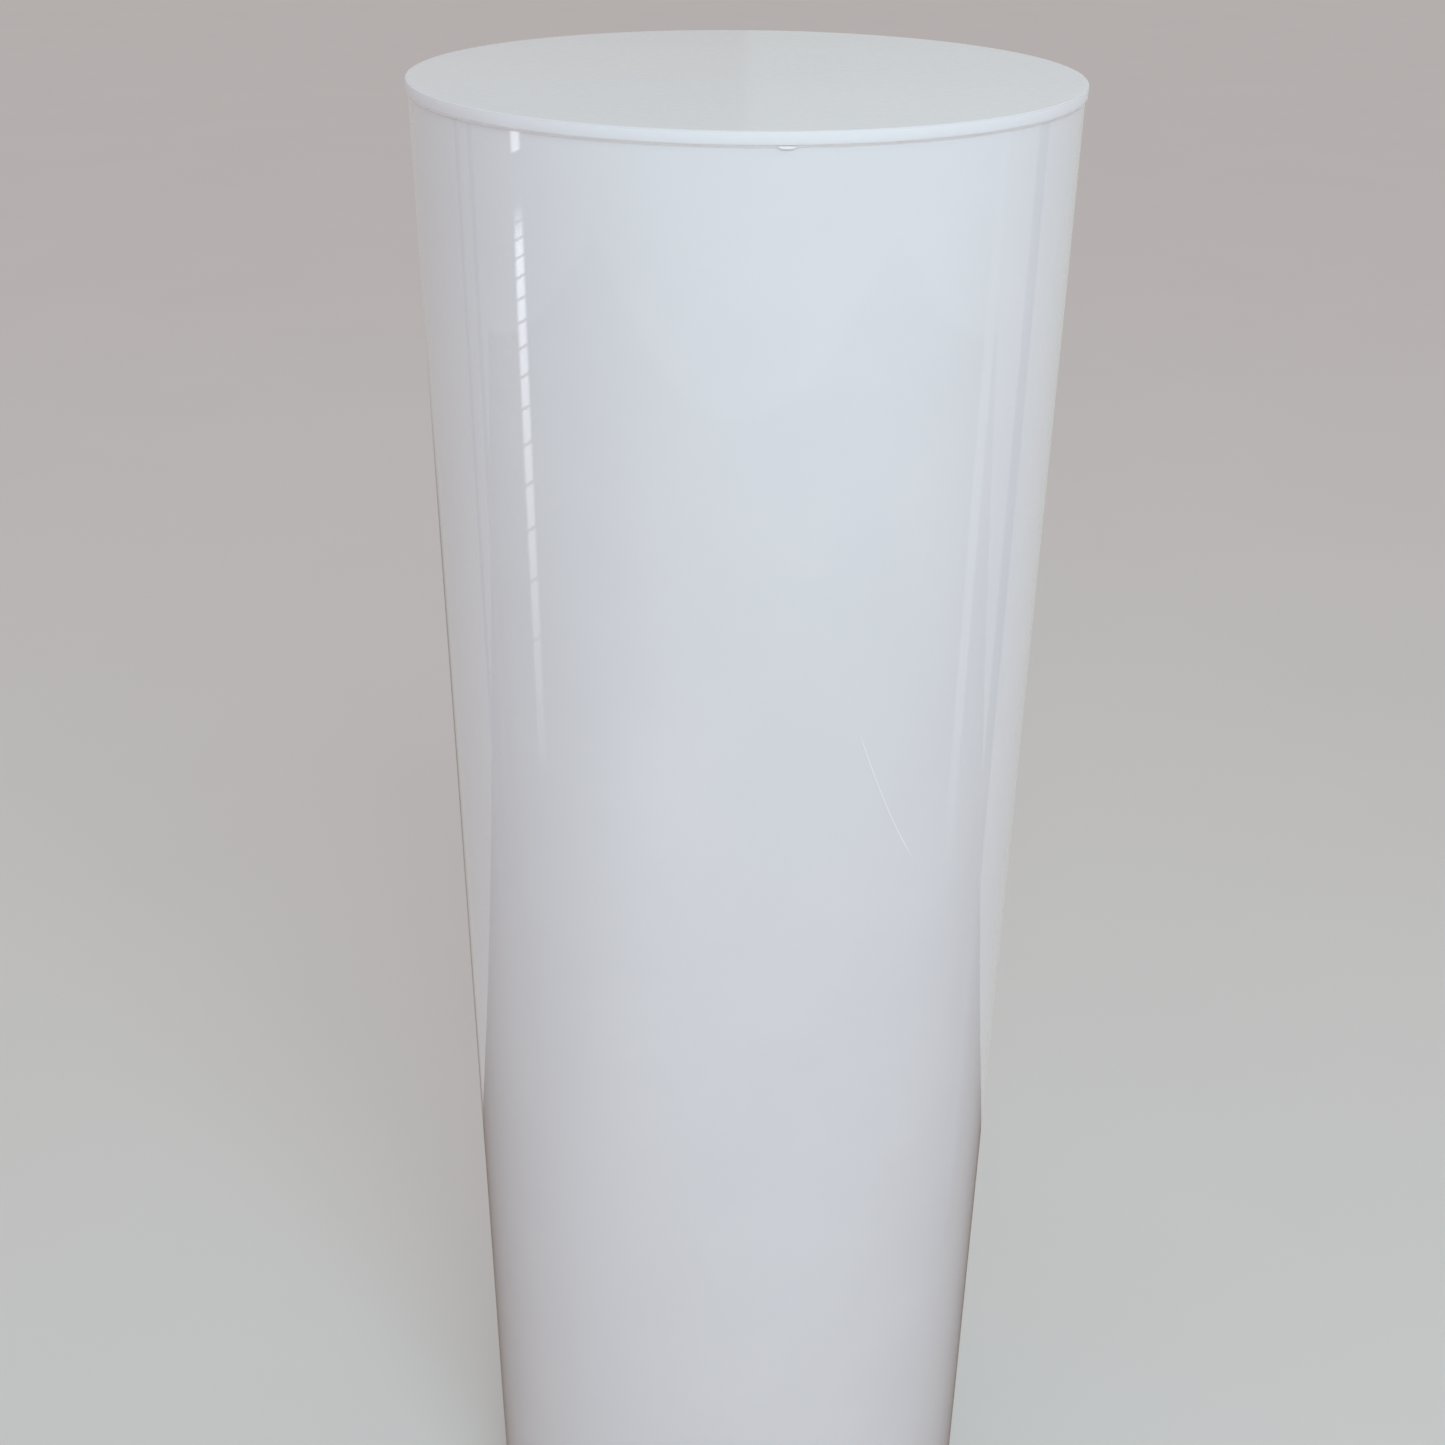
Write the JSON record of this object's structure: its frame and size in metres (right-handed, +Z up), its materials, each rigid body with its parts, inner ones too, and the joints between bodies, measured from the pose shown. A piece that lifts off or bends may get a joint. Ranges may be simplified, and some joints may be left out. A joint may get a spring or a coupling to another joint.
{
  "type": "round display plinth",
  "caption": "Tall round display plinth of gloss white acrylic: a rolled cylinder, open at the foot, with a flat bonded top disc to stand flowers or a display on.",
  "frame": {"origin": "on the floor, in the middle of the foot", "axes": "+Z up along the cylinder's axis, -Y the front, +Y the back with the seam"},
  "size_m": [0.3, 0.3, 0.9],
  "materials": {
    "white_acrylic": "opaque white acrylic sheet, high gloss, faintly cool",
    "inner_acrylic": "saw-cut white acrylic, satin edges, bonded inside the body",
    "acrylic_cement": "cured acrylic cement, glassy, nearly clear over white",
    "pad_polyurethane": "soft stick-on bumper, milky clear, smooth"
  },
  "bodies": {
    "root": {"body_tube": "white_acrylic", "seam_weld": "acrylic_cement", "seam_backing_strip": "inner_acrylic", "top_disc": "white_acrylic", "top_cement_bead": "acrylic_cement", "top_locating_ring": "inner_acrylic", "base_ring": "inner_acrylic", "foot_pad_1": "pad_polyurethane", "foot_pad_2": "pad_polyurethane", "foot_pad_3": "pad_polyurethane", "foot_pad_4": "pad_polyurethane", "foot_pad_5": "pad_polyurethane", "foot_pad_6": "pad_polyurethane"}
  },
  "joints": []
}
